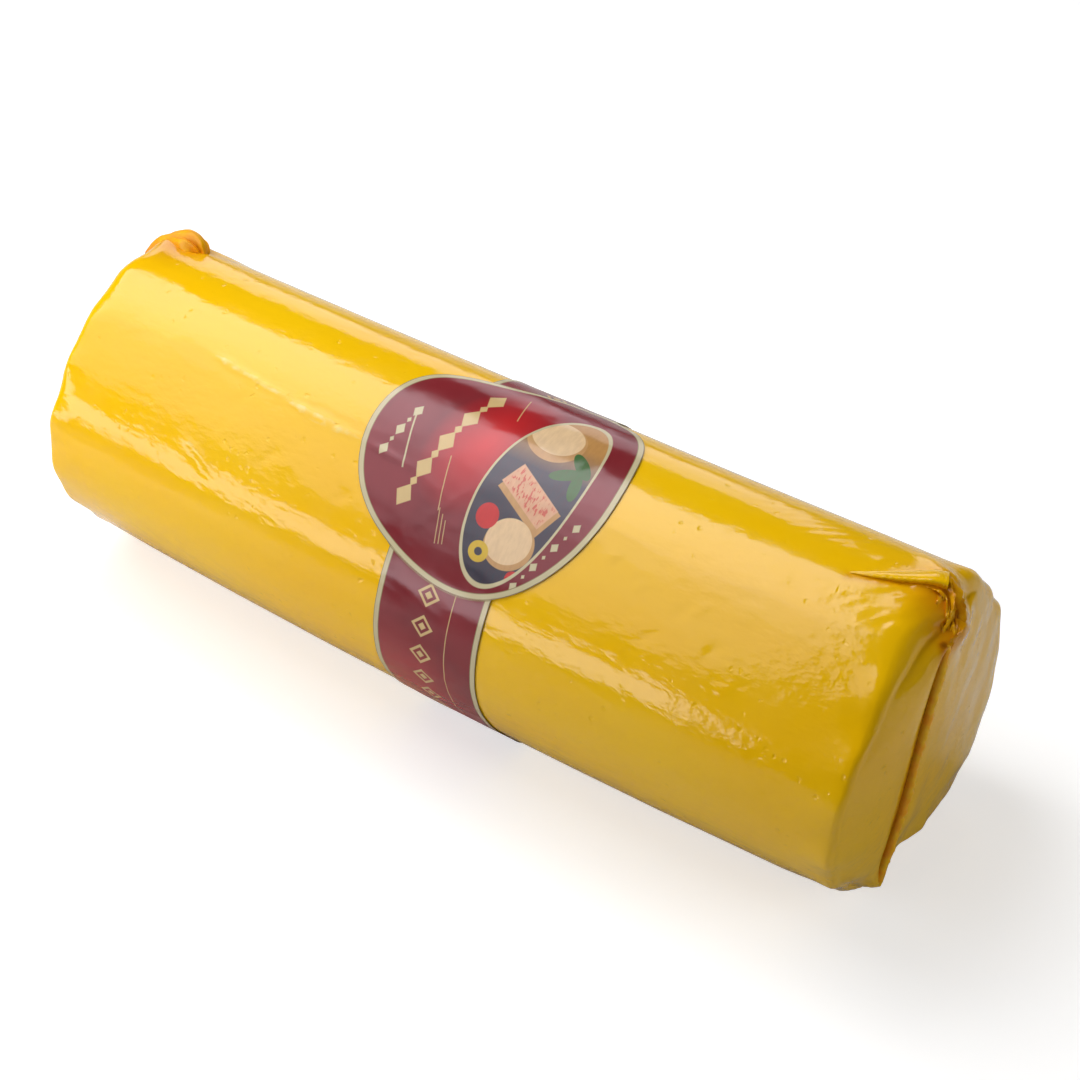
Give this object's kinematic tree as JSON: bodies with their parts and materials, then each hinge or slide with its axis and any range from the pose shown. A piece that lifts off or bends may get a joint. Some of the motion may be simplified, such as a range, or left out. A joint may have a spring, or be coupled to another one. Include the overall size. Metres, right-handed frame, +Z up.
{
  "type": "provolone cheese bar",
  "caption": "Whole bar of provolone in tight glossy yellow film with gathered, sealed ends and a printed band with a rounded shield round its middle",
  "frame": {"origin": "on the floor under the middle of the bar", "axes": "+X along the bar to the end that faces the viewer in the picture, +Y to the back, +Z up"},
  "size_m": [0.3526, 0.1216, 0.1255],
  "materials": {
    "film": "tight glossy opaque yellow film, slightly uneven, amber where it is folded",
    "label_print": "glossy printed band, maroon with a cream border and a picture field"
  },
  "bodies": {
    "root": {"cheese_log": "film", "label": "label_print"}
  },
  "joints": []
}
